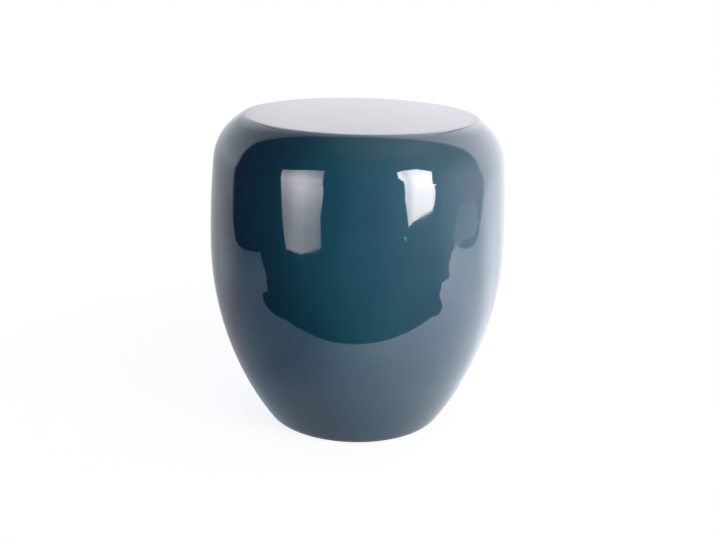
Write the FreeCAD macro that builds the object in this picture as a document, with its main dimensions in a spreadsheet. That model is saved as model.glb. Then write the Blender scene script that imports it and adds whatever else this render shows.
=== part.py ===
import FreeCAD, Part
import math
import os
import Sketcher
from FreeCAD import Vector

# Glazed ceramic drum stool, in millimetres, +Z up, origin on the floor under the middle of the stool.
# Three clay pieces are joined with slip and fired as one: a seat slab, a hollow wall and a floor with a
# foot ring. One coat of glaze runs over the seat and the wall. Felt pads are stuck under the foot ring.

SIZES = [
    ("overall_height", 420.0, "seat face above the floor, pads included"),
    ("belly_diameter", 400.0, "widest ring of the finished stool"),
    ("belly_height", 247.0, "widest ring above the floor"),
    ("wall_arc_radius", 1260.0, "gentle curve of the wall above the widest ring"),
    ("shoulder_radius", 71.5, "round shoulder between wall and seat"),
    ("seat_inset", 47.0, "edge of the flat seat, inwards from the widest ring"),
    ("seat_edge_radius", 8.0, "soft edge between flat seat and shoulder"),
    ("foot_inset", 78.5, "foot, inwards from the widest ring"),
    ("wall_thickness", 8.0, "clay of the hollow wall"),
    ("seat_thickness", 12.0, "clay of the seat slab"),
    ("floor_thickness", 10.0, "clay of the floor above the recess"),
    ("foot_ring_width", 24.0, "ring that the stool stands on"),
    ("foot_recess", 8.0, "underside of the floor above the foot ring"),
    ("foot_edge_radius", 2.0, "rounded edges of the foot ring"),
    ("recess_corner_radius", 3.0, "inside corner of the recess"),
    ("vent_diameter", 60.0, "hole in the floor that lets the air out in the kiln"),
    ("vent_edge_radius", 2.5, "sponged edges of the vent hole"),
    ("glaze_thickness", 0.8, "fired coat"),
    ("glaze_line", 2.0, "bare clay left above the foot"),
    ("pad_count", 4, "felt pads under the foot ring"),
    ("pad_diameter", 12.0, "punched felt disc"),
    ("pad_thickness", 1.5, "felt and adhesive"),
    ("pad_edge_radius", 0.5, "worn lower edge of a pad"),
]

# Formulas shared by several sketches. Cells are plain numbers, so lengths from a sketch drop their unit.
BELLY_RADIUS = "Sizes.belly_diameter / 2"
SEAT_RADIUS = f"{BELLY_RADIUS} - Sizes.seat_inset"
FOOT_RADIUS = f"{BELLY_RADIUS} - Sizes.foot_inset"
FOOT_PLANE = "Sizes.pad_thickness"
RECESS_RADIUS = f"{FOOT_RADIUS} - Sizes.foot_ring_width"
RECESS_PLANE = f"{FOOT_PLANE} + Sizes.foot_recess"
VENT_RADIUS = "Sizes.vent_diameter / 2"
PAD_RADIUS = "Sizes.pad_diameter / 2"
FLOOR_PLANE = f"{RECESS_PLANE} + Sizes.floor_thickness"
RIM_PLANE = "Sizes.overall_height - Sizes.glaze_thickness - Sizes.seat_thickness"
GLAZE_EDGE = f"{FOOT_PLANE} + Sizes.glaze_line"
FINISHED_FACE = "0"
CLAY_FACE = "Sizes.glaze_thickness"
CAVITY_FACE = "Sizes.glaze_thickness + Sizes.wall_thickness"
BELLY_ARC = "Outline.Constraints.belly_arc / 1 mm"
SHOULDER_X = "Outline.Constraints.shoulder_x / 1 mm"
SHOULDER_Z = "Outline.Constraints.shoulder_z / 1 mm"

# Point numbers of a sketch element, and the sketch's own origin.
START, END, CENTRE = 1, 2, 3
ORIGIN = (-1, START)
TOLERANCE = 1e-4
ROUNDING_SHARE = 0.45

doc = FreeCAD.newDocument("DrumStool")
sheet = doc.addObject("Spreadsheet::Sheet", "Sizes")
for row, (alias, value, note) in enumerate(SIZES, start=1):
    sheet.set(f"A{row}", note)
    sheet.set(f"B{row}", str(value))
    sheet.setAlias(f"B{row}", alias)
doc.recompute()


def number(formula):
    return float(sheet.evalExpression(formula.replace("Sizes.", "")))


# The finished outline as four tangent arcs, each with its middle, radius and end angles, from the foot up.
def outline_arcs():
    belly_x = number(BELLY_RADIUS)
    belly_z = number("Sizes.belly_height")
    drop = belly_z - number(FOOT_PLANE)
    inset = number("Sizes.foot_inset")
    belly_arc = (drop**2 + inset**2) / (2 * inset)
    wall_arc = number("Sizes.wall_arc_radius")
    shoulder = number("Sizes.shoulder_radius")
    edge = number("Sizes.seat_edge_radius")
    belly_middle = Vector(belly_x - belly_arc, belly_z)
    wall_middle = Vector(belly_x - wall_arc, belly_z)
    edge_middle = Vector(number(SEAT_RADIUS), number("Sizes.overall_height") - edge)
    # The shoulder touches the wall's arc and the seat edge's arc from inside, which places its middle.
    span = edge_middle - wall_middle
    reach = wall_arc - shoulder
    along = (reach**2 - (shoulder - edge)**2 + span.Length**2) / (2 * span.Length)
    across = math.sqrt(reach**2 - along**2)
    way = Vector(span).normalize()
    shoulder_middle = wall_middle + way * along + Vector(way.y, -way.x) * across
    wall_end = math.atan2(shoulder_middle.y - belly_z, shoulder_middle.x - wall_middle.x)
    shoulder_way = edge_middle - shoulder_middle
    shoulder_end = math.atan2(shoulder_way.y, shoulder_way.x)
    return {
        "belly": (belly_middle, belly_arc, -math.asin(drop / belly_arc), 0.0),
        "wall": (wall_middle, wall_arc, 0.0, wall_end),
        "shoulder": (shoulder_middle, shoulder, wall_end, shoulder_end),
        "edge": (edge_middle, edge, shoulder_end, math.pi / 2),
    }


arcs = outline_arcs()


def origin_plane(body, role):
    return next(plane for plane in body.Origin.OriginFeatures if plane.Role == role)


def add_sketch(body, name, role):
    sketch = body.newObject("Sketcher::SketchObject", name)
    sketch.AttachmentSupport = (origin_plane(body, role), [""])
    sketch.MapMode = "FlatFace"
    return sketch


def constrain(sketch, kind, *elements):
    return sketch.addConstraint(Sketcher.Constraint(kind, *elements))


# A named dimension bound to a formula over the sheet.
def dimension(sketch, name, formula, kind, *elements):
    value = float(sketch.evalExpression(formula))
    index = constrain(sketch, kind, *elements, value)
    sketch.renameConstraint(index, name)
    sketch.setExpression(f"Constraints.{name}", formula)


# A dimension that is only measured, for other sketches to read.
def measured(sketch, name, kind, *elements):
    index = constrain(sketch, kind, *elements, 1.0)
    sketch.setDriving(index, False)
    sketch.renameConstraint(index, name)


def add_arc(sketch, name, depth, start=None, end=None):
    middle, radius, first, last = arcs[name]
    circle = Part.Circle(Vector(middle), Vector(0, 0, 1), radius - depth)
    first = first if start is None else start
    last = last if end is None else end
    return sketch.addGeometry(Part.ArcOfCircle(circle, first, last))


# Angle on one of the outline's arcs, taken at a depth inside the finished face, at a given height.
def angle_at(name, depth, height):
    middle, radius, _, _ = arcs[name]
    return math.asin((height - middle.y) / (radius - depth))


def end_point(sketch, element, position):
    return Vector(sketch.getPoint(element, position))


# Straight lines through a row of corners, each joined to the next.
def add_lines(sketch, corners):
    lines = []
    for start, finish in zip(corners, corners[1:]):
        line = sketch.addGeometry(Part.LineSegment(start, finish))
        if lines:
            constrain(sketch, "Coincident", lines[-1], END, line, START)
        constrain(sketch, "Horizontal" if abs(start.y - finish.y) < TOLERANCE else "Vertical", line)
        lines.append(line)
    return lines


# Belly and wall arcs that meet upright at the widest ring, and the shoulder above them.
def add_side(sketch, prefix, depth, start_height=None, end_height=None):
    inside = number(depth)
    first = None if start_height is None else angle_at("belly", inside, number(start_height))
    last = None if end_height is None else angle_at("shoulder", inside, number(end_height))
    belly = add_arc(sketch, "belly", inside, start=first)
    wall = add_arc(sketch, "wall", inside)
    shoulder = add_arc(sketch, "shoulder", inside, end=last)
    constrain(sketch, "Tangent", belly, END, wall, START)
    constrain(sketch, "Tangent", wall, END, shoulder, START)
    constrain(sketch, "Horizontal", wall, CENTRE, wall, START)
    dimension(sketch, f"{prefix}_belly_x", f"{BELLY_RADIUS} - ({depth})", "DistanceX", *ORIGIN, belly, END)
    dimension(sketch, f"{prefix}_belly_z", "Sizes.belly_height", "DistanceY", *ORIGIN, belly, END)
    dimension(sketch, f"{prefix}_wall_arc", f"Sizes.wall_arc_radius - ({depth})", "Radius", wall)
    dimension(sketch, f"{prefix}_shoulder", f"Sizes.shoulder_radius - ({depth})", "Radius", shoulder)
    return belly, wall, shoulder


# Soft edge that runs from the shoulder into the flat seat.
def add_edge(sketch, prefix, depth, shoulder):
    edge = add_arc(sketch, "edge", number(depth))
    constrain(sketch, "Tangent", shoulder, END, edge, START)
    constrain(sketch, "Vertical", edge, CENTRE, edge, END)
    dimension(sketch, f"{prefix}_edge", f"Sizes.seat_edge_radius - ({depth})", "Radius", edge)
    dimension(sketch, f"{prefix}_seat_z", f"Sizes.overall_height - ({depth})", "DistanceY", *ORIGIN, edge, END)
    return edge


def revolve(body, name, sketch):
    turned = body.newObject("PartDesign::Revolution", name)
    turned.Profile = sketch
    turned.ReferenceAxis = (sketch, ["V_Axis"])
    turned.Angle = 360.0
    body.Tip = turned
    doc.recompute()
    return turned


def cut_up(body, name, sketch, depth):
    before = body.Shape.Volume
    pocket = body.newObject("PartDesign::Pocket", name)
    pocket.Profile = sketch
    pocket.Reversed = True
    pocket.setExpression("Length", depth)
    body.Tip = pocket
    doc.recompute()
    removed = before - pocket.Shape.Volume
    expected = sketch.Shape.Wires[0].Length**2 / (4 * math.pi) * number(depth)
    print(f"{name}: removed {removed:.1f} of {expected:.1f} mm3")
    return pocket


def circle_edges(shape, radius, height):
    names = []
    for index, edge in enumerate(shape.Edges, start=1):
        if not isinstance(edge.Curve, Part.Circle):
            continue
        off_radius = abs(edge.Curve.Radius - radius)
        off_height = abs(edge.Curve.Center.z - height)
        if off_radius < TOLERANCE and off_height < TOLERANCE:
            names.append(f"Edge{index}")
    return names


# A rounding that always leaves some of the face that two of them share.
def within(radius, face):
    return f"min({radius}; {ROUNDING_SHARE} * {face})"


def round_edges(body, name, edges, radius):
    before = body.Tip
    fillet = body.newObject("PartDesign::Fillet", name)
    fillet.Base = (before, edges)
    fillet.setExpression("Radius", radius)
    body.Tip = fillet
    doc.recompute()
    return fillet


def add_body(name, label):
    body = doc.addObject("PartDesign::Body", name)
    body.Label = label
    return body


# Finished outside face, which every clay and glaze profile is measured from.
def make_outline():
    sketch = doc.addObject("Sketcher::SketchObject", "Outline")
    belly, wall, shoulder = add_side(sketch, "finished", FINISHED_FACE)
    edge = add_edge(sketch, "finished", FINISHED_FACE, shoulder)
    dimension(sketch, "seat_x", SEAT_RADIUS, "DistanceX", *ORIGIN, edge, END)
    dimension(sketch, "foot_x", FOOT_RADIUS, "DistanceX", *ORIGIN, belly, START)
    dimension(sketch, "foot_z", FOOT_PLANE, "DistanceY", *ORIGIN, belly, START)
    measured(sketch, "belly_arc", "Radius", belly)
    measured(sketch, "shoulder_x", "DistanceX", *ORIGIN, shoulder, CENTRE)
    measured(sketch, "shoulder_z", "DistanceY", *ORIGIN, shoulder, CENTRE)
    doc.recompute()
    return sketch


# Glaze: the finished face outside, the clay face inside, and a rolled lip just above the foot.
def make_glaze_coat():
    body = add_body("GlazeCoat", "glaze_coat")
    sketch = add_sketch(body, "GlazeProfile", "XZ_Plane")
    outer = add_side(sketch, "outer", FINISHED_FACE, start_height=GLAZE_EDGE)
    outer_edge = add_edge(sketch, "outer", FINISHED_FACE, outer[2])
    inner = add_side(sketch, "inner", CLAY_FACE, start_height=GLAZE_EDGE)
    inner_edge = add_edge(sketch, "inner", CLAY_FACE, inner[2])
    for prefix, side, edge, depth in (
        ("outer", outer, outer_edge, FINISHED_FACE),
        ("inner", inner, inner_edge, CLAY_FACE),
    ):
        dimension(sketch, f"{prefix}_belly_arc", f"{BELLY_ARC} - ({depth})", "Radius", side[0])
        dimension(sketch, f"{prefix}_seat_x", SEAT_RADIUS, "DistanceX", *ORIGIN, edge, END)
    top = end_point(sketch, outer_edge, END)
    under = end_point(sketch, inner_edge, END)
    lines = add_lines(sketch, [top, Vector(0, top.y), Vector(0, under.y), under])
    constrain(sketch, "Coincident", outer_edge, END, lines[0], START)
    constrain(sketch, "Coincident", lines[2], END, inner_edge, END)
    constrain(sketch, "PointOnObject", lines[1], START, -2)
    lip_out = end_point(sketch, outer[0], START)
    lip_in = end_point(sketch, inner[0], START)
    lip_middle = (lip_out + lip_in) / 2
    lip_way = lip_out - lip_middle
    lip_end = math.atan2(lip_way.y, lip_way.x)
    lip_circle = Part.Circle(lip_middle, Vector(0, 0, 1), lip_way.Length)
    lip = sketch.addGeometry(Part.ArcOfCircle(lip_circle, lip_end - math.pi, lip_end))
    constrain(sketch, "Tangent", lip, END, outer[0], START)
    constrain(sketch, "Tangent", lip, START, inner[0], START)
    dimension(sketch, "lip_z", GLAZE_EDGE, "DistanceY", *ORIGIN, outer[0], START)
    revolve(body, "GlazeTurned", sketch)
    return body


# Seat slab: flat top and soft edge under the glaze, the start of the shoulder, and a flat underside.
def make_seat_slab():
    body = add_body("SeatSlab", "seat_slab")
    sketch = add_sketch(body, "SeatProfile", "XZ_Plane")
    inside = number(CLAY_FACE)
    shoulder = add_arc(sketch, "shoulder", inside, start=angle_at("shoulder", inside, number(RIM_PLANE)))
    dimension(sketch, "shoulder_x", SHOULDER_X, "DistanceX", *ORIGIN, shoulder, CENTRE)
    dimension(sketch, "shoulder_z", SHOULDER_Z, "DistanceY", *ORIGIN, shoulder, CENTRE)
    dimension(sketch, "shoulder", f"Sizes.shoulder_radius - {CLAY_FACE}", "Radius", shoulder)
    edge = add_edge(sketch, "clay", CLAY_FACE, shoulder)
    top = end_point(sketch, edge, END)
    rim = end_point(sketch, shoulder, START)
    lines = add_lines(sketch, [top, Vector(0, top.y), Vector(0, rim.y), rim])
    constrain(sketch, "Coincident", edge, END, lines[0], START)
    constrain(sketch, "Coincident", lines[2], END, shoulder, START)
    constrain(sketch, "PointOnObject", lines[1], START, -2)
    dimension(sketch, "rim_z", RIM_PLANE, "DistanceY", *ORIGIN, shoulder, START)
    revolve(body, "SeatTurned", sketch)
    return body


# Hollow wall: an even thickness all the way up, cut level where it meets the floor and the seat slab.
def make_body_wall():
    body = add_body("BodyWall", "body_wall")
    sketch = add_sketch(body, "WallProfile", "XZ_Plane")
    sides = []
    for prefix, depth in (("outer", CLAY_FACE), ("inner", CAVITY_FACE)):
        side = add_side(sketch, prefix, depth, start_height=FLOOR_PLANE, end_height=RIM_PLANE)
        belly, _, shoulder = side
        dimension(sketch, f"{prefix}_belly_arc", f"{BELLY_ARC} - ({depth})", "Radius", belly)
        dimension(sketch, f"{prefix}_shoulder_z", SHOULDER_Z, "DistanceY", *ORIGIN, shoulder, CENTRE)
        dimension(sketch, f"{prefix}_floor_z", FLOOR_PLANE, "DistanceY", *ORIGIN, belly, START)
        dimension(sketch, f"{prefix}_rim_z", RIM_PLANE, "DistanceY", *ORIGIN, shoulder, END)
        sides.append(side)
    outer, inner = sides
    for first, second, position in ((outer[0], inner[0], START), (outer[2], inner[2], END)):
        start = end_point(sketch, first, position)
        finish = end_point(sketch, second, position)
        line = sketch.addGeometry(Part.LineSegment(start, finish))
        constrain(sketch, "Coincident", line, START, first, position)
        constrain(sketch, "Coincident", line, END, second, position)
    revolve(body, "WallTurned", sketch)
    return body


def add_circle(body, name, plane, radius):
    sketch = add_sketch(body, name, "XY_Plane")
    sketch.setExpression("AttachmentOffset.Base.z", plane)
    circle = sketch.addGeometry(Part.Circle(Vector(0, 0), Vector(0, 0, 1), number(radius)))
    constrain(sketch, "Coincident", circle, CENTRE, *ORIGIN)
    dimension(sketch, "radius", radius, "Radius", circle)
    doc.recompute()
    return sketch


# Floor slab: the wall's taper round its edge, a recess that leaves the foot ring, and the vent hole.
def make_base_slab():
    body = add_body("BaseSlab", "base_slab")
    sketch = add_sketch(body, "BaseProfile", "XZ_Plane")
    inside = number(CLAY_FACE)
    foot_angle = angle_at("belly", inside, number(FOOT_PLANE))
    floor_angle = angle_at("belly", inside, number(FLOOR_PLANE))
    side = add_arc(sketch, "belly", inside, foot_angle, floor_angle)
    foot = end_point(sketch, side, START)
    rim = end_point(sketch, side, END)
    dimension(sketch, "side_arc", f"{BELLY_ARC} - {CLAY_FACE}", "Radius", side)
    dimension(sketch, "side_x", f"{BELLY_ARC} - {BELLY_RADIUS}", "DistanceX", side, CENTRE, *ORIGIN)
    dimension(sketch, "side_z", "Sizes.belly_height", "DistanceY", *ORIGIN, side, CENTRE)
    dimension(sketch, "foot_z", FOOT_PLANE, "DistanceY", *ORIGIN, side, START)
    dimension(sketch, "floor_z", FLOOR_PLANE, "DistanceY", *ORIGIN, side, END)
    lines = add_lines(sketch, [rim, Vector(0, rim.y), Vector(0, foot.y), foot])
    constrain(sketch, "Coincident", side, END, lines[0], START)
    constrain(sketch, "Coincident", lines[2], END, side, START)
    constrain(sketch, "PointOnObject", lines[1], START, -2)
    revolve(body, "BaseTurned", sketch)
    recess = add_circle(body, "RecessCircle", FOOT_PLANE, RECESS_RADIUS)
    cut_up(body, "FootRecess", recess, "Sizes.foot_recess")
    vent = add_circle(body, "VentCircle", RECESS_PLANE, VENT_RADIUS)
    cut_up(body, "VentHole", vent, "Sizes.floor_thickness")
    foot_height = number(FOOT_PLANE)
    recess_radius = number(RECESS_RADIUS)
    ring = circle_edges(body.Shape, foot.x, foot_height) + circle_edges(body.Shape, recess_radius, foot_height)
    round_edges(body, "FootRingRound", ring, within("Sizes.foot_edge_radius", "Sizes.foot_recess"))
    corner = circle_edges(body.Shape, recess_radius, number(RECESS_PLANE))
    round_edges(body, "RecessCorner", corner, within("Sizes.recess_corner_radius", "Sizes.foot_recess"))
    vent_radius = number(VENT_RADIUS)
    rims = circle_edges(body.Shape, vent_radius, number(RECESS_PLANE))
    rims += circle_edges(body.Shape, vent_radius, number(FLOOR_PLANE))
    round_edges(body, "VentRound", rims, within("Sizes.vent_edge_radius", "Sizes.floor_thickness"))
    return body


# One punched felt disc, turned to its place round the foot ring.
def make_felt_pad(index):
    label = f"felt_pad_{index + 1}"
    body = add_body(f"FeltPad{index + 1}", label)
    sketch = add_sketch(body, f"PadCircle{index + 1}", "XY_Plane")
    circle = sketch.addGeometry(Part.Circle(Vector(0, 0), Vector(0, 0, 1), number(PAD_RADIUS)))
    constrain(sketch, "Coincident", circle, CENTRE, *ORIGIN)
    dimension(sketch, "radius", PAD_RADIUS, "Radius", circle)
    disc = body.newObject("PartDesign::Pad", f"PadDisc{index + 1}")
    disc.Profile = sketch
    disc.setExpression("Length", "Sizes.pad_thickness")
    body.Tip = disc
    doc.recompute()
    lower = circle_edges(body.Shape, number(PAD_RADIUS), 0.0)
    round_edges(body, f"PadRound{index + 1}", lower, within("Sizes.pad_edge_radius", "Sizes.pad_thickness"))
    turn = f"{index + 0.5} * 360 deg / Sizes.pad_count"
    ring_middle = f"({FOOT_RADIUS} - Sizes.foot_ring_width / 2)"
    body.setExpression("Placement.Base.x", f"{ring_middle} * cos({turn})")
    body.setExpression("Placement.Base.y", f"{ring_middle} * sin({turn})")
    doc.recompute()
    return body


make_outline()
pieces = [make_seat_slab(), make_body_wall(), make_base_slab(), make_glaze_coat()]
pieces += [make_felt_pad(index) for index in range(int(number("Sizes.pad_count")))]
doc.recompute()

for item in doc.Objects:
    if "Invalid" in item.State or "Error" in item.State:
        raise RuntimeError(f"{item.Label} failed: {item.State}")
for piece in pieces:
    if piece.Shape.isNull() or not piece.Shape.isValid():
        raise RuntimeError(f"{piece.Label} has no sound shape")

os.makedirs("parts", exist_ok=True)
for piece in pieces:
    box = piece.Shape.optimalBoundingBox()
    print(f"{piece.Label}: {piece.Shape.Volume / 1000:.1f} cm3, z {box.ZMin:.2f} to {box.ZMax:.2f} mm")
    piece.Shape.exportStep(f"parts/{piece.Label}.step")
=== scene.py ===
import math

import bmesh
import bpy
from mathutils import Matrix, Vector


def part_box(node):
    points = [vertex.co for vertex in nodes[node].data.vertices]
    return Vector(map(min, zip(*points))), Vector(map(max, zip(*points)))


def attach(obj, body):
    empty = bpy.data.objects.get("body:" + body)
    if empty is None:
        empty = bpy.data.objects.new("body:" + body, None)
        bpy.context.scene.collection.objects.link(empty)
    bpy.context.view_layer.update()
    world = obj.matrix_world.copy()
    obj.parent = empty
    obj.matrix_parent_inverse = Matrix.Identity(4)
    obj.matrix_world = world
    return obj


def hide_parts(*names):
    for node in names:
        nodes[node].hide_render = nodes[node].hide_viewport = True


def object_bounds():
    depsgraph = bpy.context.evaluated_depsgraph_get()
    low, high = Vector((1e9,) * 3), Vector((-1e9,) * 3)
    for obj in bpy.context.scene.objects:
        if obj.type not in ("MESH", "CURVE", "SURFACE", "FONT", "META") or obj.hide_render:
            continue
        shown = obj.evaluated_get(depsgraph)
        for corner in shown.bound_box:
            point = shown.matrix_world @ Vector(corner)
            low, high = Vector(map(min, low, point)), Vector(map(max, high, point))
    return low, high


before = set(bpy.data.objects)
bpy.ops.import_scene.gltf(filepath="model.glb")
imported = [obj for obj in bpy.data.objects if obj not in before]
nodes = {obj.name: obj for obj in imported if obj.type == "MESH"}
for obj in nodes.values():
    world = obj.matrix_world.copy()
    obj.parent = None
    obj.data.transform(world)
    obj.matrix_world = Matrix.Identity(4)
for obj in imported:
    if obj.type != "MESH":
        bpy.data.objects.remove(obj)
cadLow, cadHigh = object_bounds()
print("frame loaded,", len(nodes), "clay, glaze and felt nodes")


# mesh helpers, used by every piece

mergeReach = 0.00001                      # metres: points nearer than this are one
hairline = 0.0001                         # heights or radii nearer than this are alike
smoothAngle = math.radians(50)            # sharper edges stay crisp
bevelSteps = 3                            # facets round a softened edge


def startClean():
    if bpy.context.object and bpy.context.object.mode != "OBJECT":
        bpy.ops.object.mode_set(mode="OBJECT")
    bpy.ops.object.select_all(action="DESELECT")


def makeActive(piece):
    startClean()
    piece.select_set(True)
    bpy.context.view_layer.objects.active = piece


def selectEdges(piece, wanted):
    # in edit mode, picks the edges that pass the test
    bpy.ops.mesh.select_mode(type="EDGE")
    bpy.ops.mesh.select_all(action="DESELECT")
    shape = bmesh.from_edit_mesh(piece.data)
    for edge in shape.edges:
        if wanted(edge):
            edge.select_set(True)
    bmesh.update_edit_mesh(piece.data)


def arcPoints(middle, radius, startDeg, stopDeg, count):
    # points along an arc, the first one left out
    points = []
    for i in range(1, count + 1):
        angle = math.radians(startDeg + (stopDeg - startDeg) * i / count)
        points.append((middle[0] + radius * math.cos(angle), middle[1] + radius * math.sin(angle)))
    return points


def drawProfile(name, points):
    # a small plane merged to one vertex, then extruded from point to point as a chain of edges
    startClean()
    bpy.ops.mesh.primitive_plane_add(size=hairline, location=(0, 0, 0))
    piece = bpy.context.object
    piece.name = name
    piece.data.name = name
    bpy.ops.object.mode_set(mode="EDIT")
    bpy.ops.mesh.select_mode(type="VERT")
    bpy.ops.mesh.select_all(action="SELECT")
    bpy.ops.mesh.merge(type="CENTER")
    bpy.ops.transform.translate(value=(points[0][0], 0, points[0][1]))
    for before, after in zip(points, points[1:]):
        step = (after[0] - before[0], 0, after[1] - before[1])
        bpy.ops.mesh.extrude_region_move(TRANSFORM_OT_translate={"value": step})
    return piece


def spinRound(steps):
    bpy.ops.mesh.select_all(action="SELECT")
    bpy.ops.mesh.spin(steps=steps, angle=math.tau, center=(0, 0, 0), axis=(0, 0, 1))
    bpy.ops.mesh.select_all(action="SELECT")
    bpy.ops.mesh.remove_doubles(threshold=mergeReach)
    bpy.ops.mesh.normals_make_consistent(inside=False)


def cloudDisplace(piece, name, cloud, group="", stretch=None):
    # soft hand made unevenness, only ever pushed in from the drawn surface
    clouds = bpy.data.textures.new(name, type="CLOUDS")
    clouds.noise_scale = cloud["size"]
    clouds.noise_depth = cloud["depth"]
    push = piece.modifiers.new(name, "DISPLACE")
    push.texture = clouds
    push.texture_coords = "LOCAL"
    push.strength = cloud["push"]
    push.mid_level = 1.0
    push.vertex_group = group
    if stretch:
        bpy.ops.object.empty_add(location=(0, 0, 0))
        stretcher = bpy.context.object
        stretcher.scale = stretch
        bpy.context.view_layer.update()
        push.texture_coords = "OBJECT"
        push.texture_coords_object = stretcher
    makeActive(piece)
    bpy.ops.object.modifier_apply(modifier=name)
    if stretch:
        bpy.data.objects.remove(stretcher)


# node helpers, used by every material

def addNode(tree, kind, inputs=None, **settings):
    node = tree.nodes.new(kind)
    for key, value in settings.items():
        setattr(node, key, value)
    for key, value in (inputs or {}).items():
        if isinstance(value, bpy.types.NodeSocket):
            tree.links.new(value, node.inputs[key])
        else:
            node.inputs[key].default_value = value
    return node


def mathNode(tree, operation, first, second=0.0, third=0.0):
    return addNode(tree, "ShaderNodeMath", {0: first, 1: second, 2: third}, operation=operation).outputs[0]


def mapRange(tree, value, low, high, toLow=0.0, toHigh=1.0, kind="LINEAR"):
    ends = {"Value": value, "From Min": low, "From Max": high, "To Min": toLow, "To Max": toHigh}
    return addNode(tree, "ShaderNodeMapRange", ends, interpolation_type=kind).outputs[0]


def rampNode(tree, fac, stops):
    node = addNode(tree, "ShaderNodeValToRGB", {"Fac": fac})
    elements = node.color_ramp.elements
    while len(elements) < len(stops):
        elements.new(0.5)
    for element, (place, colour) in zip(elements, stops):
        element.position = place
        element.color = colour
    return node.outputs["Color"]


def levelRamp(tree, value, levels):
    # a number that runs through the given (place, level) pairs
    low, high = levels[0][0], levels[-1][0]
    top = max(level for place, level in levels)
    stops = []
    for place, level in levels:
        grey = level / top
        stops.append(((place - low) / (high - low), (grey, grey, grey, 1)))
    return mathNode(tree, "MULTIPLY", rampNode(tree, mapRange(tree, value, low, high), stops), top)


def mixColour(tree, fac, first, second):
    return addNode(tree, "ShaderNodeMix", {0: fac, 6: first, 7: second}, data_type="RGBA").outputs[2]


def mixValue(tree, fac, first, second):
    return addNode(tree, "ShaderNodeMix", {0: fac, 2: first, 3: second}).outputs[0]


def noiseNode(tree, place, scale, detail=3.0, rough=0.5, stretch=None):
    if stretch:
        place = addNode(tree, "ShaderNodeMapping", {"Vector": place, "Scale": stretch}).outputs[0]
    settings = {"Vector": place, "Scale": scale, "Detail": detail, "Roughness": rough}
    return addNode(tree, "ShaderNodeTexNoise", settings).outputs["Fac"]


def lineNoise(tree, along, detail):
    # noise that changes in one direction only, for turning lines
    settings = {"W": along, "Scale": 1.0, "Detail": detail}
    return addNode(tree, "ShaderNodeTexNoise", settings, noise_dimensions="1D").outputs["Fac"]


def bumpNode(tree, height, strength, distance, under=None):
    inputs = {"Height": height, "Strength": strength, "Distance": distance}
    if under:
        inputs["Normal"] = under
    return addNode(tree, "ShaderNodeBump", inputs).outputs["Normal"]


def dotNode(tree, first, second):
    node = addNode(tree, "ShaderNodeVectorMath", {0: first, 1: second}, operation="DOT_PRODUCT")
    return node.outputs["Value"]


def lengthOf(tree, first, second):
    squares = mathNode(tree, "MULTIPLY_ADD", second, second, mathNode(tree, "MULTIPLY", first, first))
    return mathNode(tree, "SQRT", squares)


def startMaterial(name):
    material = bpy.data.materials.new(name)
    material.use_nodes = True
    tree = material.node_tree
    tree.nodes.clear()
    output = tree.nodes.new("ShaderNodeOutputMaterial")
    place = tree.nodes.new("ShaderNodeTexCoord").outputs["Object"]
    axes = addNode(tree, "ShaderNodeSeparateXYZ", {0: place}).outputs
    return material, tree, output.inputs["Surface"], place, axes


def startShader(tree, surface):
    shader = tree.nodes.new("ShaderNodeBsdfPrincipled")
    tree.links.new(shader.outputs["BSDF"], surface)
    return shader.inputs


def dress(piece, material):
    piece.data.materials.clear()
    piece.data.materials.append(material)


# glaze: deep petrol glass, navy where thick, with a painted highlight along the seat's edge and painted
# shade on its left side, darker towards the foot

glazeLook = {
    "navy": (0.0086, 0.057, 0.098, 1),
    "petrol": (0.0108, 0.073, 0.110, 1),
    "teal": (0.0128, 0.085, 0.112, 1),
    # painted highlight: the paler colour along the seat's edge
    "edgeHighlight": (0.032, 0.108, 0.138, 1),
    # painted shade: the darker navy of the glaze's left side
    "leftShadeColour": (0.007, 0.034, 0.080, 1),
    # a deeper navy, for the flecks and for the darker foot
    "deepNavy": (0.005, 0.034, 0.056, 1),
    "clouds": {"scale": 8.0, "detail": 4.0, "rough": 0.55},
    "cloudStops": (0.32, 0.5, 0.7),       # where navy, petrol and teal stand
    "leftShadeSide": (-0.02, -0.12),           # painted shade: to the left, the glaze turns a darker navy
    "leftShadeBelow": (0.14, 0.25),            # and further round below this height
    "leftShadeShift": -0.05,
    "leftShadeDrift": {"scale": 6.0, "detail": 2.0},
    "leftShadeWander": 0.06,
    "leftShadeShare": 0.75,
    "runs": {"scale": 1.0, "detail": 3.0, "rough": 0.6, "stretch": (55, 55, 6)},
    "runReach": (0.35, 0.75),
    "runShare": 0.35,
    "flecks": {"scale": 900.0, "detail": 2.0},
    "fleckReach": (0.66, 0.74),
    "fleckShare": 0.35,
    "edgeRing": (0.1565, 0.4185),         # radius and height of the seat's edge
    "edgeReach": (0.003, 0.009),          # painted highlight: paler glaze, from and to this far off that edge
    "edgeFray": {"scale": 60.0},
    "edgeRagged": 0.006,
    "edgeHighlightShare": 0.45,
    "footDarkReach": (0.009, 0.016),          # darker glaze, from and to this height
    "footDarkFray": {"scale": 30.0},
    "footDarkRagged": 0.010,
    "footDarkShare": 0.8,
    "smears": {"scale": 22.0, "detail": 4.0},
    "smearReach": (0.3, 0.7),
    "roughness": (0.030, 0.055),
    "ior": 1.5,
    "ringsPerMetre": 130.0,
    "ringDetail": 2.0,
    "ringDrift": {"scale": 5.0, "detail": 2.0},
    "ringWander": 0.012,
    "ringDepth": (0.05, 0.14),            # turning rings on the wall and on the shoulder
    "shoulder": (0.350, 0.395),
    "peel": {"scale": 140.0, "detail": 2.0},
    "peelDepth": 0.04,
    "bumpHeight": 0.0002,
}


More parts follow.
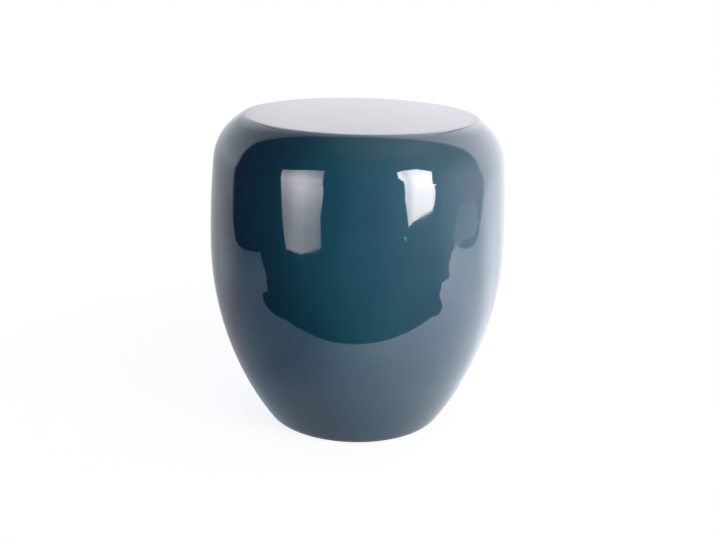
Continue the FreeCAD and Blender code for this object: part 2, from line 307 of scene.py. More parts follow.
def glazeMaterial(look):
    material, tree, surface, place, axes = startMaterial("petrolGlaze")
    shader = startShader(tree, surface)
    shades = (look["navy"], look["petrol"], look["teal"])
    cloudy = noiseNode(tree, place, **look["clouds"])
    colour = rampNode(tree, cloudy, list(zip(look["cloudStops"], shades)))
    # painted shade: darker navy on the left side, and further round low down
    shadeWobble = noiseNode(tree, place, **look["leftShadeDrift"])
    across = mathNode(tree, "MULTIPLY_ADD", shadeWobble, look["leftShadeWander"], axes[0])
    lowShadeShift = mapRange(tree, axes[2], *look["leftShadeBelow"], look["leftShadeShift"], 0.0)
    paintedLeftShade = mapRange(tree, mathNode(tree, "ADD", across, lowShadeShift), *look["leftShadeSide"], 0.0, look["leftShadeShare"])
    colour = mixColour(tree, paintedLeftShade, colour, look["leftShadeColour"])
    # faint runs from the melt, and fine flecks in the glass
    runs = noiseNode(tree, place, **look["runs"])
    streaked = mapRange(tree, runs, *look["runReach"], 0.0, look["runShare"])
    colour = mixColour(tree, streaked, colour, look["navy"])
    flecks = noiseNode(tree, place, **look["flecks"])
    flecked = mapRange(tree, flecks, *look["fleckReach"], 0.0, look["fleckShare"])
    colour = mixColour(tree, flecked, colour, look["deepNavy"])
    # painted highlight: paler along the seat's edge
    offRing = mathNode(tree, "SUBTRACT", lengthOf(tree, axes[0], axes[1]), look["edgeRing"][0])
    offHeight = mathNode(tree, "SUBTRACT", axes[2], look["edgeRing"][1])
    offEdge = lengthOf(tree, offRing, offHeight)
    fray = noiseNode(tree, place, **look["edgeFray"])
    ragged = mathNode(tree, "MULTIPLY_ADD", fray, look["edgeRagged"], offEdge)
    edgeLit = mapRange(tree, ragged, *look["edgeReach"], look["edgeHighlightShare"], 0.0)
    colour = mixColour(tree, edgeLit, colour, look["edgeHighlight"])
    # darker towards the foot
    fray = noiseNode(tree, place, **look["footDarkFray"])
    low = mathNode(tree, "MULTIPLY_ADD", fray, look["footDarkRagged"], axes[2])
    footDarkened = mapRange(tree, low, *look["footDarkReach"], look["footDarkShare"], 0.0)
    colour = mixColour(tree, footDarkened, colour, look["deepNavy"])
    tree.links.new(colour, shader["Base Color"])
    smears = noiseNode(tree, place, **look["smears"])
    tree.links.new(mapRange(tree, smears, *look["smearReach"], *look["roughness"]), shader["Roughness"])
    shader["IOR"].default_value = look["ior"]
    # turning rings under the glass, and a slight orange peel
    wander = noiseNode(tree, place, **look["ringDrift"])
    along = mathNode(tree, "MULTIPLY_ADD", wander, look["ringWander"], axes[2])
    rings = lineNoise(tree, mathNode(tree, "MULTIPLY", along, look["ringsPerMetre"]), look["ringDetail"])
    ringDepth = mapRange(tree, axes[2], *look["shoulder"], *look["ringDepth"])
    normal = bumpNode(tree, rings, ringDepth, look["bumpHeight"])
    peel = noiseNode(tree, place, **look["peel"])
    normal = bumpNode(tree, peel, look["peelDepth"], look["bumpHeight"], normal)
    tree.links.new(normal, shader["Normal"])
    return material


# raw clay: buff stoneware, speckled, with turning lines and a toasted foot edge, darkened to near black as
# painted shade

clayLook = {
    "body": (0.60, 0.50, 0.385, 1),
    "pale": (0.70, 0.61, 0.49, 1),
    # toasted clay, darkened to near black as painted shade where the foot meets the floor
    "toastedAndShaded": (0.075, 0.060, 0.052, 1),
    "iron": (0.16, 0.10, 0.065, 1),
    "mottle": {"scale": 24.0, "detail": 5.0, "rough": 0.6},
    "mottleStops": (0.3, 0.7),
    "toastShadeReach": (0.115, 0.128),         # radius where the foot starts to darken, toasted and with painted shade, and is full
    "toastShadeFray": {"scale": 40.0},
    "toastShadeRagged": 0.012,
    "toastShadeShare": 0.95,
    "specksPerMetre": 420.0,
    "speckSpread": 0.5,                   # their sizes differ by this share of their spacing
    "speckSkip": -0.22,                   # and nearly half of the places stay bare
    "speckShare": 0.75,
    "roughness": 0.86,
    "linesPerMetre": 520.0,
    "lineDetail": 3.0,
    "lineDepth": 0.5,
    "lineHeight": 0.0004,
    "grain": {"scale": 1400.0, "detail": 3.0, "rough": 0.6},
    "grainDepth": 0.35,
    "grainHeight": 0.0002,
}


def clayMaterial(look):
    material, tree, surface, place, axes = startMaterial("rawStoneware")
    shader = startShader(tree, surface)
    flat = lengthOf(tree, axes[0], axes[1])
    mottle = noiseNode(tree, place, **look["mottle"])
    colour = rampNode(tree, mottle, list(zip(look["mottleStops"], (look["body"], look["pale"]))))
    # toasted foot edge, with painted shade where the foot meets the floor
    fray = noiseNode(tree, place, **look["toastShadeFray"])
    edge = mathNode(tree, "MULTIPLY_ADD", fray, look["toastShadeRagged"], flat)
    toastedAndShaded = mapRange(tree, edge, *look["toastShadeReach"], 0.0, look["toastShadeShare"])
    colour = mixColour(tree, toastedAndShaded, colour, look["toastedAndShaded"])
    # iron specks of all sizes
    spacing = {"Vector": place, "Scale": look["specksPerMetre"]}
    speck = addNode(tree, "ShaderNodeTexVoronoi", spacing).outputs
    chance = addNode(tree, "ShaderNodeSeparateColor", {0: speck["Color"]}).outputs[0]
    size = mathNode(tree, "MULTIPLY_ADD", chance, look["speckSpread"], look["speckSkip"])
    inside = mathNode(tree, "LESS_THAN", speck["Distance"], size)
    colour = mixColour(tree, mathNode(tree, "MULTIPLY", inside, look["speckShare"]), colour, look["iron"])
    tree.links.new(colour, shader["Base Color"])
    shader["Roughness"].default_value = look["roughness"]
    # turning lines, and the grain of the body
    lines = lineNoise(tree, mathNode(tree, "MULTIPLY", flat, look["linesPerMetre"]), look["lineDetail"])
    normal = bumpNode(tree, lines, look["lineDepth"], look["lineHeight"])
    grain = noiseNode(tree, place, **look["grain"])
    normal = bumpNode(tree, grain, look["grainDepth"], look["grainHeight"], normal)
    tree.links.new(normal, shader["Normal"])
    return material


# felt: dense charcoal fibres

feltLook = {
    "dark": (0.075, 0.071, 0.068, 1),
    "mid": (0.165, 0.157, 0.150, 1),
    "fibre": (0.34, 0.33, 0.32, 1),
    "matting": {"scale": 700.0, "detail": 5.0, "rough": 0.7},
    "mattingStops": (0.3, 0.62),
    "mattingDepth": 0.6,
    "strands": {"scale": 1.0, "detail": 4.0, "rough": 0.65, "stretch": (2600, 600, 1500)},
    "strandReach": (0.58, 0.70),
    "strandShare": 0.6,
    "strandDepth": 0.8,
    "bumpHeight": 0.0003,
    "roughness": 0.95,
    "sheen": 0.35,
}


def feltMaterial(look):
    material, tree, surface, place, axes = startMaterial("greyFelt")
    shader = startShader(tree, surface)
    matting = noiseNode(tree, place, **look["matting"])
    colour = rampNode(tree, matting, list(zip(look["mattingStops"], (look["dark"], look["mid"]))))
    strands = noiseNode(tree, place, **look["strands"])
    fibrous = mapRange(tree, strands, *look["strandReach"], 0.0, look["strandShare"])
    colour = mixColour(tree, fibrous, colour, look["fibre"])
    tree.links.new(colour, shader["Base Color"])
    shader["Roughness"].default_value = look["roughness"]
    shader["Sheen Weight"].default_value = look["sheen"]
    normal = bumpNode(tree, strands, look["strandDepth"], look["bumpHeight"])
    normal = bumpNode(tree, matting, look["mattingDepth"], look["bumpHeight"], normal)
    tree.links.new(normal, shader["Normal"])
    return material


petrolGlaze = glazeMaterial(glazeLook)
rawStoneware = clayMaterial(clayLook)
greyFelt = feltMaterial(feltLook)
print("materials made")

# glaze coat: the skin over seat, shoulder and wall, in metres

glazeCoat = {
    "bellyRadius": 0.200,                 # widest ring
    "bellyHeight": 0.247,
    "wallArc": 1.260,                     # gentle curve above it
    "shoulderRadius": 0.0715,
    "edgeRadius": 0.008,                  # soft edge of the seat
    "seatRadius": 0.153,                  # flat part of the seat
    "footRadius": 0.1215,
    "lipLift": 0.0004,                    # room for the rounded lip
    "middleRadius": 0.060,                # middle of the seat, filled with a grid
    "rings": {"seat": 16, "edge": 6, "shoulder": 26, "wall": 22, "taper": 46},
    "spinSteps": 256,
    "thickness": 0.0003,
    "lipReach": 0.0015,                   # the lip's sharp rings lie within this of its foot
    "lipSharp": math.radians(60),
    "lipRound": 0.0001,
    "swell": {"size": 0.22, "depth": 1, "push": 0.0003},
    "ripple": {"size": 0.042, "depth": 1, "push": 0.0003},
    "rippleStretch": (1.0, 1.0, 4.0),
    "calmSeat": (0.150, 0.162),           # the seat stays calm, and outside it the ripple starts
}


def coatProfile(sizes, seatTop, footPlane, lip):
    rings = sizes["rings"]
    belly = Vector((sizes["bellyRadius"], sizes["bellyHeight"]))
    wallMiddle = belly - Vector((sizes["wallArc"], 0))
    edgeMiddle = Vector((sizes["seatRadius"], seatTop - sizes["edgeRadius"]))
    # the shoulder touches the wall's arc and the seat edge's arc from inside, which places its middle
    span = edgeMiddle - wallMiddle
    reach = sizes["wallArc"] - sizes["shoulderRadius"]
    inner = sizes["shoulderRadius"] - sizes["edgeRadius"]
    along = (reach ** 2 - inner ** 2 + span.length ** 2) / (2 * span.length)
    across = math.sqrt(reach ** 2 - along ** 2)
    way = span.normalized()
    shoulderMiddle = wallMiddle + way * along + Vector((way.y, -way.x)) * across
    shoulderTop = math.degrees(math.atan2(*(edgeMiddle - shoulderMiddle).yx))
    shoulderFoot = math.degrees(math.atan2(*(shoulderMiddle - wallMiddle).yx))
    # the taper starts upright at the widest ring and meets the foot
    drop = belly.y - footPlane
    inset = belly.x - sizes["footRadius"]
    taperArc = (drop ** 2 + inset ** 2) / (2 * inset)
    taperMiddle = belly - Vector((taperArc, 0))
    taperFoot = -math.degrees(math.asin((belly.y - lip) / taperArc))
    flat = sizes["seatRadius"] - sizes["middleRadius"]
    points = [(sizes["middleRadius"] + flat * i / rings["seat"], seatTop) for i in range(rings["seat"] + 1)]
    points += arcPoints(edgeMiddle, sizes["edgeRadius"], 90, shoulderTop, rings["edge"])
    points += arcPoints(shoulderMiddle, sizes["shoulderRadius"], shoulderTop, shoulderFoot,
                        rings["shoulder"])
    points += arcPoints(wallMiddle, sizes["wallArc"], shoulderFoot, 0, rings["wall"])
    points += arcPoints(taperMiddle, taperArc, 0, taperFoot, rings["taper"])
    return points


def rippleGroup(coat, sizes):
    # full weight on the wall, none on the flat seat
    group = coat.vertex_groups.new(name="rippled")
    calm, full = sizes["calmSeat"]
    for vertex in coat.data.vertices:
        weight = (vertex.co.xy.length - calm) / (full - calm)
        if vertex.co.z < sizes["bellyHeight"]:
            weight = 1.0
        group.add([vertex.index], min(max(weight, 0.0), 1.0), "REPLACE")
    return group.name


def buildCoat(sizes):
    coatLow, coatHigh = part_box("glaze_coat")
    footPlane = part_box("base_slab")[0].z
    lip = coatLow.z + sizes["lipLift"]

    def roundSeatHole(edge):
        return edge.is_boundary and min(v.co.z for v in edge.verts) > sizes["bellyHeight"]

    def sharpOnLip(edge):
        first, second = edge.verts
        low = max(first.co.z, second.co.z) < lip + sizes["lipReach"]
        along = abs(first.co.xy.length - second.co.xy.length) < hairline
        return low and along and edge.calc_face_angle(0) > sizes["lipSharp"]

    coat = drawProfile("glazeSkin", coatProfile(sizes, coatHigh.z, footPlane, lip))
    spinRound(sizes["spinSteps"])
    # the middle of the seat
    selectEdges(coat, roundSeatHole)
    bpy.ops.mesh.fill_grid(span=sizes["spinSteps"] // 4)
    bpy.ops.mesh.select_all(action="SELECT")
    bpy.ops.mesh.normals_make_consistent(inside=False)
    bpy.ops.object.mode_set(mode="OBJECT")
    cloudDisplace(coat, "swell", sizes["swell"])
    cloudDisplace(coat, "ripple", sizes["ripple"], rippleGroup(coat, sizes), sizes["rippleStretch"])
    coat.vertex_groups.clear()
    wall = coat.modifiers.new("thickness", "SOLIDIFY")
    wall.thickness = sizes["thickness"]
    wall.offset = -1
    makeActive(coat)
    bpy.ops.object.modifier_apply(modifier="thickness")
    # the two sharp rings of the lip
    bpy.ops.object.mode_set(mode="EDIT")
    selectEdges(coat, sharpOnLip)
    bpy.ops.mesh.bevel(offset=sizes["lipRound"], segments=bevelSteps, affect="EDGES")
    bpy.ops.object.mode_set(mode="OBJECT")
    makeActive(coat)
    bpy.ops.object.shade_smooth_by_angle(angle=smoothAngle)
    dress(coat, petrolGlaze)
    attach(coat, "root")
    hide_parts("glaze_coat")
    return coat


glazeSkin = buildCoat(glazeCoat)
print("glaze coat:", len(glazeSkin.data.polygons), "faces")

# the clay nodes keep their CAD shape under the glaze
for clayNode in ("seat_slab", "body_wall", "base_slab"):
    dress(nodes[clayNode], rawStoneware)
print("clay dressed")

# felt pads under the foot ring, each in the place of its CAD disc

feltPad = {
    "count": 4,
    "sides": 64,
    "edgeRound": 0.0004,
    "insets": (0.14, 0.17, 0.22),         # rings on the two faces, as shares of the radius
    "fuzz": {"size": 0.0008, "depth": 2, "push": 0.00018},
}


def buildPad(sizes, radius, height):
    startClean()
    bpy.ops.mesh.primitive_cylinder_add(vertices=sizes["sides"], radius=radius, depth=height,
                                        location=(0, 0, height / 2))
    pad = bpy.context.object
    bpy.ops.object.transform_apply(location=True)
    bpy.ops.object.mode_set(mode="EDIT")
    selectEdges(pad, lambda edge: abs(edge.verts[0].co.z - edge.verts[1].co.z) < hairline)
    bpy.ops.mesh.bevel(offset=sizes["edgeRound"], segments=bevelSteps, affect="EDGES")
    bpy.ops.mesh.select_mode(type="FACE")
    bpy.ops.mesh.select_all(action="DESELECT")
    shape = bmesh.from_edit_mesh(pad.data)
    for face in shape.faces:
        if len(face.verts) == sizes["sides"]:
            face.select_set(True)
    bmesh.update_edit_mesh(pad.data)
    for share in sizes["insets"]:
        bpy.ops.mesh.inset(thickness=radius * share, use_individual=True)
    bpy.ops.mesh.poke()
    bpy.ops.object.mode_set(mode="OBJECT")
    cloudDisplace(pad, "fuzz", sizes["fuzz"])
    makeActive(pad)
    bpy.ops.object.shade_smooth_by_angle(angle=smoothAngle)
    dress(pad, greyFelt)
    return pad


discLow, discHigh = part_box("felt_pad_1")
firstPad = buildPad(feltPad, (discHigh.x - discLow.x) / 2, discHigh.z - discLow.z)
for number in range(1, feltPad["count"] + 1):
    discLow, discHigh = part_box("felt_pad_%d" % number)
    makeActive(firstPad)
    bpy.ops.object.duplicate(linked=False)
    pad = bpy.context.object
    bpy.ops.transform.translate(value=((discLow.x + discHigh.x) / 2, (discLow.y + discHigh.y) / 2, 0))
    bpy.ops.object.transform_apply(location=True)
    pad.name = "feltDot%d" % number
    pad.data.name = pad.name
    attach(pad, "root")
    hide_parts("felt_pad_%d" % number)
bpy.data.objects.remove(firstPad)
print("felt pads:", feltPad["count"])

# camera at the photo's place

view = {
    "eye": (0, -1.3474, 0.6289),
    "aim": (0, 0, 0.210),
    "lens": 51.355,
    "sensor": 36,
    "roll": 1.421,
    "shift": (0.0012, -0.0060),
}


def placeCamera(values):
    cameraData = bpy.data.cameras.new("photoCamera")
    cameraData.lens = values["lens"]
    cameraData.sensor_width = values["sensor"]
    cameraData.shift_x, cameraData.shift_y = values["shift"]
    camera = bpy.data.objects.new("photoCamera", cameraData)
    bpy.context.scene.collection.objects.link(camera)
    eye = Vector(values["eye"])
    sight = (Vector(values["aim"]) - eye).to_track_quat("-Z", "Y").to_matrix().to_4x4()
    roll = Matrix.Rotation(math.radians(values["roll"]), 4, "Z")
    camera.matrix_world = Matrix.Translation(eye) @ sight @ roll
    bpy.context.scene.camera = camera


placeCamera(view)

# the room round the stool: a white cove behind and above, a dim studio in front

surroundings = {
    "coveColour": (1.0, 0.99, 1.06, 1),
    "coveLeftColour": (0.955, 1.01, 1.065, 1),
    "seatColour": (0.895, 0.865, 0.915, 1),   # the part of the cove that the seat mirrors
    "seatSpread": (0.955, 0.98),
    # how far back the cove starts, by the angle from straight up, right side plus
    "coveEdge": [(-180, 0.0), (-109, 0.0), (-107, 0.32), (-99, 0.345), (-80, 0.285), (-50, 0.335),
                 (30, 0.30), (57, 0.285), (84, 0.235), (98, 0.315), (105, 0.17), (107, 0.0), (180, 0.0)],
    "coveSoft": 0.036,
    "leftToRight": (-0.25, 0.25),         # where the left colours and levels give way to the right ones
    "coveAcross": [(-0.9, 1.66), (-0.65, 1.32), (-0.35, 1.10), (0.05, 1.72), (0.45, 2.35), (0.9, 4.0)],
    "coveLeftByHeight": [(-0.5, 0.38), (-0.3, 0.61), (-0.15, 0.70), (0.1, 1.04), (0.8, 0.62)],
    "coveRightByHeight": [(-0.5, 0.72), (-0.2, 0.92), (0.1, 1.0), (0.8, 1.15)],
    "stripWay": (0, 0.75, 0.65),          # soft strip light overhead
    "stripSpread": (0.835, 0.95),
    "stripLevel": 1.1,
    "roomColour": (0.96, 0.98, 1.05, 1),
    "roomAcross": [(-0.3, 0.06), (0.3, 0.46), (0.85, 1.3), (1.0, 2.5)],
    "roomByHeight": [(-0.75, 0.45), (-0.35, 0.62), (-0.12, 1.0), (0.3, 1.0), (0.75, 1.15), (0.97, 2.4)],
    "ambient": [(-0.2, 0.02), (0.7, 0.9)],    # what lights the matt part, from front to back
    "ambientLeft": (0.6, 1.3, 2.0, 1),        # cooler from the left
    "ambientAcross": (0.2, -0.6),
}


def buildWorld(values, seatWay):
    world = bpy.data.worlds.new("studio")
    bpy.context.scene.world = world
    world.use_nodes = True
    tree = world.node_tree
    tree.nodes.clear()
    output = tree.nodes.new("ShaderNodeOutputWorld")
    way = tree.nodes.new("ShaderNodeTexCoord").outputs["Generated"]
    path = tree.nodes.new("ShaderNodeLightPath").outputs
    axes = addNode(tree, "ShaderNodeSeparateXYZ", {0: way}).outputs
    # what the gloss sees: cove or room
    turn = mathNode(tree, "DEGREES", mathNode(tree, "ARCTAN2", axes[0], axes[2]))
    past = mathNode(tree, "SUBTRACT", axes[1], levelRamp(tree, turn, values["coveEdge"]))
    behind = mapRange(tree, past, -values["coveSoft"], values["coveSoft"], kind="SMOOTHSTEP")
    rightward = mapRange(tree, axes[0], *values["leftToRight"])
    byHeight = mixValue(tree, rightward, levelRamp(tree, axes[2], values["coveLeftByHeight"]),
                        levelRamp(tree, axes[2], values["coveRightByHeight"]))
    cove = mathNode(tree, "MULTIPLY", levelRamp(tree, axes[0], values["coveAcross"]), byHeight)
    stripWay = Vector(values["stripWay"]).normalized()
    strip = mapRange(tree, dotNode(tree, way, stripWay), *values["stripSpread"], 0.0, values["stripLevel"])
    cove = mathNode(tree, "ADD", cove, strip)
    room = mathNode(tree, "MULTIPLY", levelRamp(tree, axes[0], values["roomAcross"]),
                    levelRamp(tree, axes[2], values["roomByHeight"]))
    mirrored = mixValue(tree, behind, room, cove)
    coveTint = mixColour(tree, rightward, values["coveLeftColour"], values["coveColour"])
    onSeat = mapRange(tree, dotNode(tree, way, seatWay), *values["seatSpread"])
    coveTint = mixColour(tree, onSeat, coveTint, values["seatColour"])
    mirroredTint = mixColour(tree, behind, values["roomColour"], coveTint)
    # what lights the matt part
    ambient = levelRamp(tree, axes[1], values["ambient"])
    leftward = mapRange(tree, axes[0], *values["ambientAcross"])
    ambientTint = mixColour(tree, leftward, values["coveColour"], values["ambientLeft"])
    gloss = path["Is Glossy Ray"]
    tint = mixColour(tree, gloss, ambientTint, mirroredTint)
    level = mixValue(tree, gloss, ambient, mirrored)
    lit = addNode(tree, "ShaderNodeBackground", {"Color": tint, "Strength": level})
    white = addNode(tree, "ShaderNodeBackground", {"Color": (1, 1, 1, 1), "Strength": 1.0})
    seen = mathNode(tree, "MAXIMUM", path["Is Camera Ray"], path["Is Transmission Ray"])
    both = addNode(tree, "ShaderNodeMixShader", {0: seen, 1: lit.outputs[0], 2: white.outputs[0]})
    tree.links.new(both.outputs[0], output.inputs["Surface"])


# floor: pale, keeps the shadow, and runs out into the white backdrop

floorLook = {
    "bounce": (0.40, 0.41, 0.43, 1),
    "seen": (0.33, 0.30, 0.27, 1),        # the camera adds the lift to this
    "lift": 0.86,
    "fade": (0.30, 0.75),
    "size": 14.0,
}


def buildFloor(look):
    startClean()
    bpy.ops.mesh.primitive_plane_add(size=look["size"], location=(0, 0, 0))
    floor = bpy.context.object
    floor.name = "paleFloor"
    material, tree, surface, place, axes = startMaterial("paleFloor")
    material.cycles.emission_sampling = "NONE"
    camera = tree.nodes.new("ShaderNodeLightPath").outputs["Is Camera Ray"]
    pale = mixColour(tree, camera, look["bounce"], look["seen"])
    matt = addNode(tree, "ShaderNodeBsdfDiffuse", {"Color": pale})
    raised = mathNode(tree, "MULTIPLY", camera, look["lift"])
    lift = addNode(tree, "ShaderNodeEmission", {"Strength": raised})
    both = addNode(tree, "ShaderNodeAddShader", {0: matt.outputs[0], 1: lift.outputs[0]})
    clear = tree.nodes.new("ShaderNodeBsdfTransparent")
    far = mapRange(tree, lengthOf(tree, axes[0], axes[1]), *look["fade"], kind="SMOOTHSTEP")
    shares = {0: mathNode(tree, "MULTIPLY", far, camera), 1: both.outputs[0], 2: clear.outputs[0]}
    tree.links.new(addNode(tree, "ShaderNodeMixShader", shares).outputs[0], surface)
    dress(floor, material)
    floor.visible_glossy = False          # the gloss sees the table instead


# cards that only the gloss sees: a table, a screen round the seat, two windows, a spot and a wall panel

def glossOnly(card):
    card.visible_camera = False
    card.visible_diffuse = False
    card.visible_transmission = False
    card.visible_volume_scatter = False
    card.visible_shadow = False


def flatCard(name, corners):
    startClean()
    bpy.ops.mesh.primitive_circle_add(vertices=len(corners), radius=1, fill_type="NGON")
    card = bpy.context.object
    card.name = name
    for vertex, corner in zip(card.data.vertices, corners):
        vertex.co = corner
    glossOnly(card)
    return card


def startGlow(name):
    material, tree, surface, place, axes = startMaterial(name)
    material.cycles.emission_sampling = "NONE"
    return material, tree, surface, place, axes, tree.nodes.new("ShaderNodeEmission")


tableTop = {
    # the front edge bows towards the viewer, then the two sides step out and run back
    "frontMiddle": (0.02, 1.0),
    "frontRadius": 1.378,
    "frontFrom": 252.0,
    "frontTo": 286.0,
    "frontPoints": 12,
    "rightSide": [(0.44, -0.29), (0.51, -0.30), (0.60, -0.385), (0.77, -0.45), (0.88, -0.385),
                  (1.0, -0.445), (1.20, -0.46), (1.33, -0.41), (1.27, -0.22), (1.27, -0.06),
                  (1.39, 0.15), (2.34, 0.69), (2.9, 2.6)],
    "leftSide": [(-2.9, 2.6), (-1.9, 0.6), (-1.22, 0.17), (-1.14, -0.06), (-1.15, -0.37), (-0.85, -0.40),
                 (-0.62, -0.33), (-0.60, -0.265), (-0.52, -0.25), (-0.43, -0.27)],
    # brightness from left to right, from front to back, and by how far from the foot
    "across": [(-1.2, 0.75), (-0.9, 0.95), (-0.2, 0.92), (0.2, 2.4), (0.6, 3.8), (1.0, 4.1), (1.4, 3.9)],
    "byDepth": [(-0.45, 1.22), (-0.2, 1.01), (0.07, 0.83), (0.25, 0.96), (0.5, 1.07)],
    "footShade": [(0.12, 0.44), (0.20, 0.82), (0.34, 1.0)],
    "leftFront": (0.69, 0.95, 1.22, 1),   # in the stool's blue shade
    "leftNear": (0.78, 0.72, 0.78, 1),    # behind that shade, near the stool and far from it
    "leftFar": (1.10, 1.20, 1.36, 1),
    "shadeDepth": (-0.10, 0.12),
    "nearToFar": (-0.35, -0.75),
    "right": (0.98, 1.0, 1.09, 1),
    "rightFrom": (-0.2, 0.1),
    "fade": (0.30, 0.70),                 # by how far back, over how far aside
}


def buildTable(sizes):
    front = arcPoints(sizes["frontMiddle"], sizes["frontRadius"], sizes["frontFrom"], sizes["frontTo"],
                      sizes["frontPoints"])
    outline = front + sizes["rightSide"] + sizes["leftSide"]
    table = flatCard("mirroredTable", [(x, y, 0) for x, y in outline])
    material, tree, surface, place, axes, light = startGlow("mirroredTable")
    away = lengthOf(tree, axes[0], axes[1])
    level = mathNode(tree, "MULTIPLY", levelRamp(tree, axes[0], sizes["across"]),
                     levelRamp(tree, axes[1], sizes["byDepth"]))
    level = mathNode(tree, "MULTIPLY", level, levelRamp(tree, away, sizes["footShade"]))
    tree.links.new(level, light.inputs["Strength"])
    farOff = mapRange(tree, axes[0], *sizes["nearToFar"])
    back = mixColour(tree, farOff, sizes["leftNear"], sizes["leftFar"])
    left = mixColour(tree, mapRange(tree, axes[1], *sizes["shadeDepth"]), sizes["leftFront"], back)
    rightward = mapRange(tree, axes[0], *sizes["rightFrom"])
    tree.links.new(mixColour(tree, rightward, left, sizes["right"]), light.inputs["Color"])
    # further back the table runs out into the cove
    slant = mathNode(tree, "DIVIDE", axes[1], mathNode(tree, "ABSOLUTE", axes[0]))
    clear = tree.nodes.new("ShaderNodeBsdfTransparent")
    shares = {0: mapRange(tree, slant, *sizes["fade"]), 1: light.outputs[0], 2: clear.outputs[0]}
    tree.links.new(addNode(tree, "ShaderNodeMixShader", shares).outputs[0], surface)
    dress(table, material)


# a low screen round the flat seat, glowing inward, so that no window burns it out in low side views

seatScreen = {
    "out": 0.0008,                        # outside the flat seat
    "lift": 0.0002,                       # clear of it
    "height": 0.090,
    "solidTo": 0.055,                     # above this height it fades out
    # by degrees from the right towards the back
    "level": [(-180, 1.45), (-115, 0.6), (-85, 0.55), (-55, 0.9), (-18, 1.75), (12, 1.95), (50, 1.92),
              (85, 1.83), (130, 1.80), (160, 1.70), (180, 1.45)],
    "steps": 96,
}


def buildScreen(sizes, seatRadius, seatTop, colour):
    radius = seatRadius + sizes["out"]
    foot = seatTop + sizes["lift"]
    screen = drawProfile("seatScreen", [(radius, foot), (radius, foot + sizes["height"])])
    spinRound(sizes["steps"])
    bpy.ops.object.mode_set(mode="OBJECT")
    glossOnly(screen)
    material, tree, surface, place, axes, light = startGlow("seatScreen")
    azimuth = mathNode(tree, "DEGREES", mathNode(tree, "ARCTAN2", axes[1], axes[0]))
    tree.links.new(levelRamp(tree, azimuth, sizes["level"]), light.inputs["Strength"])
    light.inputs["Color"].default_value = colour
    clear = tree.nodes.new("ShaderNodeBsdfTransparent")
    inside = tree.nodes.new("ShaderNodeNewGeometry").outputs["Backfacing"]
    below = mapRange(tree, axes[2], foot + sizes["solidTo"], foot + sizes["height"], 1.0, 0.0)
    shares = {0: mathNode(tree, "MULTIPLY", inside, below), 1: clear.outputs[0], 2: light.outputs[0]}
    tree.links.new(addNode(tree, "ShaderNodeMixShader", shares).outputs[0], surface)
    dress(screen, material)


panelAway = 2.2
panelClouds = {"scale": 3.0}
cloudReach = (0.3, 0.7)

# corners as (along, height) round the panel, brightness by height and by place along it
softPanels = [
    {"name": "leftWindow", "azimuth": -42.0, "colour": (1.0, 0.95, 0.955, 1), "mottle": 0.16,
     "corners": [(-0.69, 1.13), (0.59, 1.56), (0.63, 0.6), (0.66, 0.2), (0.60, 0.05), (0.66, -0.17),
                 (0.27, -0.195), (0.10, -0.215), (-0.40, -0.20), (-0.50, -0.05), (-0.60, 0.2)],
     "byHeight": [(-0.2, 4.8), (-0.03, 4.9), (0.1, 6.6), (0.25, 10.8), (0.7, 10.9), (1.35, 5.5)],
     "byAlong": [(-0.45, 0.62), (-0.1, 1.0), (0.1, 1.03), (0.6, 0.58)]},
    {"name": "rightWindow", "azimuth": 46.0, "colour": (1.0, 0.95, 0.945, 1), "mottle": 0.0,
     "corners": [(-0.67, 1.56), (-0.38, 1.645), (-0.03, 1.61), (0.41, 1.29), (0.31, 0.75), (0.31, 0.47),
                 (0.43, 0.40), (0.36, 0.30), (0.41, 0.20), (0.38, 0.12), (0.31, 0.07), (0.01, 0.053),
                 (-0.25, 0.03), (-0.41, -0.015), (-0.51, 0.18), (-0.54, 0.77), (-0.68, 1.10)],
     "byHeight": [(-0.05, 15.0), (0.1, 20.0), (0.35, 24.0), (0.9, 25.0), (1.6, 20.0)],
     "byAlong": [(-0.62, 0.9), (-0.42, 0.66), (-0.24, 0.97), (0.28, 1.0), (0.42, 0.75)]},
    {"name": "rightSpot", "azimuth": 46.0, "colour": (0.8, 0.95, 1.0, 1), "mottle": 0.0,
     "corners": [(-0.53, -0.078), (-0.46, -0.083), (-0.45, -0.100), (-0.53, -0.104)],
     "byHeight": [(-0.1, 5.0), (0.0, 5.0)],
     "byAlong": [(-0.6, 1.0), (-0.4, 1.0)]},
    {"name": "greyPanel", "azimuth": 88.0, "colour": (0.96, 0.975, 1.08, 1), "mottle": 0.0,
     "corners": [(-0.23, 0.07), (0.12, 0.057), (0.30, -0.01), (0.37, -0.115), (0.22, -0.165),
                 (-0.28, -0.18), (-0.50, -0.235), (-0.60, -0.235), (-0.61, -0.11), (-0.47, 0.02)],
     "byHeight": [(-0.25, 2.7), (0.05, 2.7)],
     "byAlong": [(-0.6, 1.0), (0.4, 1.0)]},
]


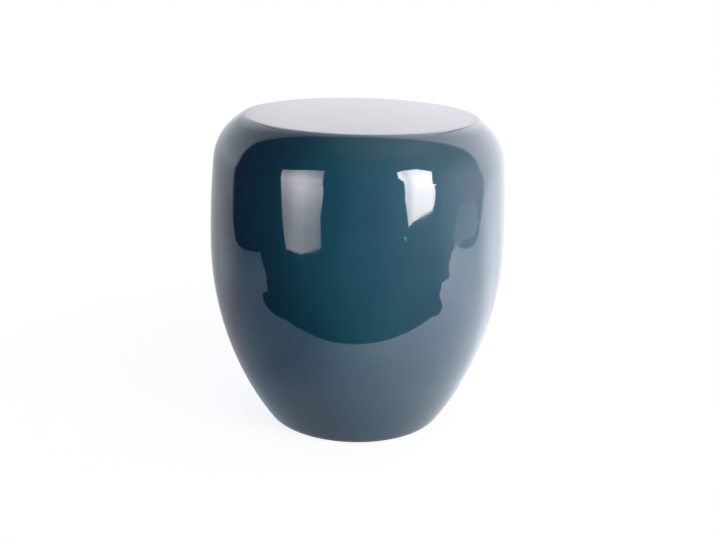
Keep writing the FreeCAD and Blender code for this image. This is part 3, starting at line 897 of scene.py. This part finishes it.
def buildPanel(facts):
    turn = math.radians(facts["azimuth"])
    middle = Vector((math.sin(turn), -math.cos(turn), 0)) * panelAway
    side = Vector((math.cos(turn), math.sin(turn), 0))
    corners = [middle + side * along + Vector((0, 0, up)) for along, up in facts["corners"]]
    panel = flatCard(facts["name"], corners)
    material, tree, surface, place, axes, light = startGlow(facts["name"])
    along = dotNode(tree, place, side)
    level = mathNode(tree, "MULTIPLY", levelRamp(tree, axes[2], facts["byHeight"]),
                     levelRamp(tree, along, facts["byAlong"]))
    spread = facts["mottle"] / 2
    cloudy = mapRange(tree, noiseNode(tree, place, **panelClouds), *cloudReach, 1 - spread, 1 + spread)
    tree.links.new(mathNode(tree, "MULTIPLY", level, cloudy), light.inputs["Strength"])
    light.inputs["Color"].default_value = facts["colour"]
    tree.links.new(light.outputs[0], surface)
    dress(panel, material)


# lamps for the matt part of the glaze; their shapes in the gloss are the windows

lampHeight = 0.24
softLamps = [
    {"name": "frontBox", "azimuth": 2.0, "rise": 18.0, "away": 0.485, "power": 0.52, "size": 0.25,
     "colour": (1.0, 1.0, 0.94)},
    {"name": "sideBox", "azimuth": 58.0, "rise": 6.0, "away": 2.2, "power": 37.0, "size": 1.0,
     "colour": (0.95, 0.97, 1.08)},
]


def buildLamp(facts):
    turn = math.radians(facts["azimuth"])
    rise = math.radians(facts["rise"])
    way = Vector((math.sin(turn) * math.cos(rise), -math.cos(turn) * math.cos(rise), math.sin(rise)))
    lampData = bpy.data.lights.new(facts["name"], "AREA")
    lampData.energy = facts["power"]
    lampData.size = facts["size"]
    lampData.color = facts["colour"]
    lamp = bpy.data.objects.new(facts["name"], lampData)
    bpy.context.scene.collection.objects.link(lamp)
    lamp.location = Vector((0, 0, lampHeight)) + way * facts["away"]
    lamp.rotation_euler = way.to_track_quat("Z", "Y").to_euler()
    lamp.visible_camera = False
    lamp.visible_glossy = False


# where the camera's look goes once the seat has mirrored it
seatWay = Vector((0, 0, cadHigh.z)) - Vector(view["eye"])
seatWay.z = -seatWay.z
buildWorld(surroundings, seatWay.normalized())
buildFloor(floorLook)
buildTable(tableTop)
buildScreen(seatScreen, glazeCoat["seatRadius"], cadHigh.z, surroundings["seatColour"])
for panelFacts in softPanels:
    buildPanel(panelFacts)
for lampFacts in softLamps:
    buildLamp(lampFacts)
bpy.context.scene.view_settings.view_transform = "Standard"
print("studio ready")

bpy.context.view_layer.update()
